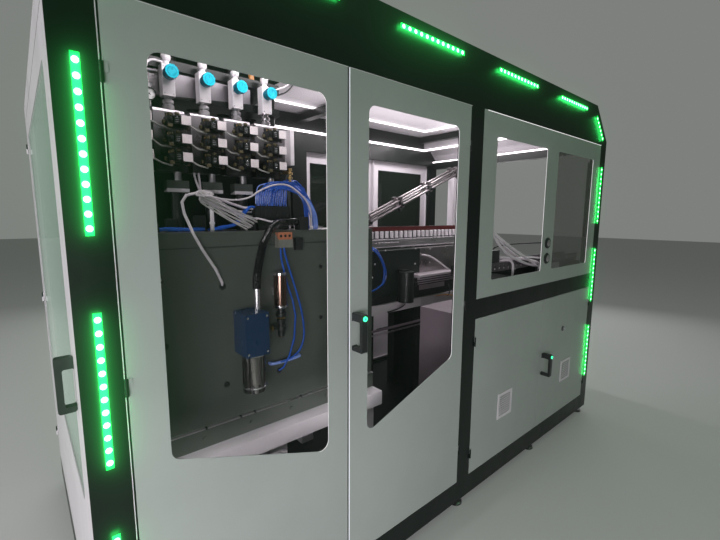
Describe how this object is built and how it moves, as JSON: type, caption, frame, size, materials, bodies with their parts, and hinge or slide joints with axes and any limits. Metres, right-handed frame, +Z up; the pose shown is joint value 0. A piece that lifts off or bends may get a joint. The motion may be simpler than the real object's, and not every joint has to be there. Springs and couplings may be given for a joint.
{
  "type": "blow moulding machine",
  "caption": "Stretch blow moulding machine in a guarded enclosure with glazed doors, lit edges, air manifold, mould halves, stretch unit, preform conveyor and electrical cabinet.",
  "frame": {"origin": "on the floor under the middle of the enclosure", "axes": "+X along the enclosure towards the end with the control panel, +Y from the doors to the back, +Z up"},
  "size_m": [3.24, 1.7233, 2.259],
  "materials": {
    "frame_black": "semi-gloss black paint",
    "panel_grey": "satin light grey paint",
    "panel_white": "satin white paint",
    "plate_grey": "satin grey-green paint",
    "cabinet_mauve": "satin",
    "blue_paint": "gloss",
    "dark_green": "semi-gloss",
    "alloy": "anodised",
    "steel": "brushed",
    "chromed": "polished",
    "black_plastic": "matte",
    "cyan_plastic": "gloss",
    "white_plastic": "matte",
    "blue_tube": "gloss",
    "glow_green": "lit",
    "light_white": "lit",
    "clear_pane": "clear",
    "smoked_pane": "smoked",
    "black_rubber": "matte"
  },
  "bodies": {
    "enclosure": {"base_frame": "frame_black", "levelling_feet": "steel", "front_frame": "frame_black", "rear_frame": "frame_black", "roof_cover": "panel_white", "right_end_panel": "panel_grey", "rear_panel": "panel_grey", "led_bars": "glow_green", "work_lights": "light_white", "control_panel": "panel_grey", "smoked_pane": "smoked_pane", "electrical_box": "cabinet_mauve", "cable_tray": "alloy", "white_cables": "white_plastic", "machine_bed": "panel_white", "station_plates": "plate_grey", "tie_bars": "chromed", "stretch_frame": "frame_black", "valve_manifold": "alloy", "solenoid_valves": "black_plastic", "regulators": "white_plastic", "pressure_gauge": "black_plastic", "air_connectors": "black_plastic", "air_lines": "blue_tube", "recovery_hose": "black_rubber", "exhaust_valve": "blue_paint", "exhaust_silencer": "chromed", "air_filter": "steel", "chain_rail": "alloy", "mandrels": "white_plastic", "infeed_chute": "steel", "oven_body": "steel", "drive_box": "dark_green"},
    "front_door_left_leaf": {"front_door_left": "panel_grey", "front_pane_left": "clear_pane"},
    "front_door_right_leaf": {"front_door_right": "panel_grey", "front_pane_right": "clear_pane", "front_handle": "black_plastic"},
    "front_button_cap": {"front_button": "glow_green"},
    "cabinet_door_left_leaf": {"cabinet_door_left": "panel_grey"},
    "cabinet_door_right_leaf": {"cabinet_door_right": "panel_grey", "cabinet_handle": "black_plastic"},
    "cabinet_button_cap": {"cabinet_button": "glow_green"},
    "cam_lock_barrel": {"cam_lock": "chromed"},
    "rear_door_left_leaf": {"rear_door_left": "panel_white", "rear_pane_left": "clear_pane"},
    "rear_door_right_leaf": {"rear_door_right": "panel_white", "rear_pane_right": "clear_pane"},
    "end_door_leaf": {"end_door": "panel_white", "end_pane": "clear_pane", "end_handle": "black_plastic"},
    "start_button_cap": {"start_button": "chromed"},
    "stop_button_cap": {"stop_button": "chromed"},
    "mould_half_front": {"mould_front": "steel"},
    "mould_half_rear": {"mould_rear": "steel"},
    "stretch_unit": {"stretch_carriage": "steel"},
    "knob_1_cap": {"knob_1": "cyan_plastic"},
    "knob_2_cap": {"knob_2": "cyan_plastic"},
    "knob_3_cap": {"knob_3": "cyan_plastic"},
    "knob_4_cap": {"knob_4": "cyan_plastic"}
  },
  "joints": [
    {"name": "front_door_left_hinge", "type": "hinge", "parent": "enclosure", "child": "front_door_left_leaf", "pos_m": [-1.504, -0.8045, 1], "axis": [0, 0, 1], "range_deg": [-110, 0]},
    {"name": "front_door_right_hinge", "type": "hinge", "parent": "enclosure", "child": "front_door_right_leaf", "pos_m": [-0.07, -0.8045, 1], "axis": [0, 0, 1], "range_deg": [0, 110]},
    {"name": "front_button_push", "type": "slide", "parent": "front_door_right_leaf", "child": "front_button_cap", "axis": [0, 1, 0], "range_m": [0, 0.003], "stiffness_N_per_m": 300},
    {"name": "cabinet_door_left_hinge", "type": "hinge", "parent": "enclosure", "child": "cabinet_door_left_leaf", "pos_m": [0.031, -0.8045, 0.6], "axis": [0, 0, 1], "range_deg": [-110, 0]},
    {"name": "cabinet_door_right_hinge", "type": "hinge", "parent": "enclosure", "child": "cabinet_door_right_leaf", "pos_m": [1.504, -0.8045, 0.6], "axis": [0, 0, 1], "range_deg": [0, 110]},
    {"name": "cabinet_button_push", "type": "slide", "parent": "cabinet_door_right_leaf", "child": "cabinet_button_cap", "axis": [0, 1, 0], "range_m": [0, 0.003], "stiffness_N_per_m": 300},
    {"name": "cam_lock_turn", "type": "hinge", "parent": "cabinet_door_right_leaf", "child": "cam_lock_barrel", "pos_m": [1.0855, -0.8, 0.758], "axis": [0, 1, 0], "range_deg": [0, 90]},
    {"name": "rear_door_left_hinge", "type": "hinge", "parent": "enclosure", "child": "rear_door_left_leaf", "pos_m": [0.031, 0.8045, 1], "axis": [0, 0, 1], "range_deg": [0, 110]},
    {"name": "rear_door_right_hinge", "type": "hinge", "parent": "enclosure", "child": "rear_door_right_leaf", "pos_m": [1.504, 0.8045, 1], "axis": [0, 0, 1], "range_deg": [-110, 0]},
    {"name": "end_door_hinge", "type": "hinge", "parent": "enclosure", "child": "end_door_leaf", "pos_m": [-1.6045, 0.74, 1], "axis": [0, 0, 1], "range_deg": [-110, 0]},
    {"name": "start_button_push", "type": "slide", "parent": "enclosure", "child": "start_button_cap", "axis": [0, 1, 0], "range_m": [0, 0.003], "stiffness_N_per_m": 300},
    {"name": "stop_button_push", "type": "slide", "parent": "enclosure", "child": "stop_button_cap", "axis": [0, 1, 0], "range_m": [0, 0.003], "stiffness_N_per_m": 300},
    {"name": "mould_front_stroke", "type": "slide", "parent": "enclosure", "child": "mould_half_front", "axis": [0, -1, 0], "range_m": [0, 0.055]},
    {"name": "mould_rear_stroke", "type": "slide", "parent": "enclosure", "child": "mould_half_rear", "axis": [0, 1, 0], "range_m": [0, 0.055]},
    {"name": "stretch_stroke", "type": "slide", "parent": "enclosure", "child": "stretch_unit", "axis": [0, 0, -1], "range_m": [0, 0.18]},
    {"name": "knob_1_turn", "type": "hinge", "parent": "enclosure", "child": "knob_1_cap", "pos_m": [-1.246, -0.398, 1.984], "axis": [0, -1, 0], "range_deg": [-150, 150]},
    {"name": "knob_2_turn", "type": "hinge", "parent": "enclosure", "child": "knob_2_cap", "pos_m": [-1.124, -0.398, 1.984], "axis": [0, -1, 0], "range_deg": [-150, 150]},
    {"name": "knob_3_turn", "type": "hinge", "parent": "enclosure", "child": "knob_3_cap", "pos_m": [-1.002, -0.398, 1.984], "axis": [0, -1, 0], "range_deg": [-150, 150]},
    {"name": "knob_4_turn", "type": "hinge", "parent": "enclosure", "child": "knob_4_cap", "pos_m": [-0.88, -0.398, 1.984], "axis": [0, -1, 0], "range_deg": [-150, 150]}
  ],
  "couplings": [
    {"joint": "mould_rear_stroke", "follows": "mould_front_stroke", "ratio": 1}
  ]
}
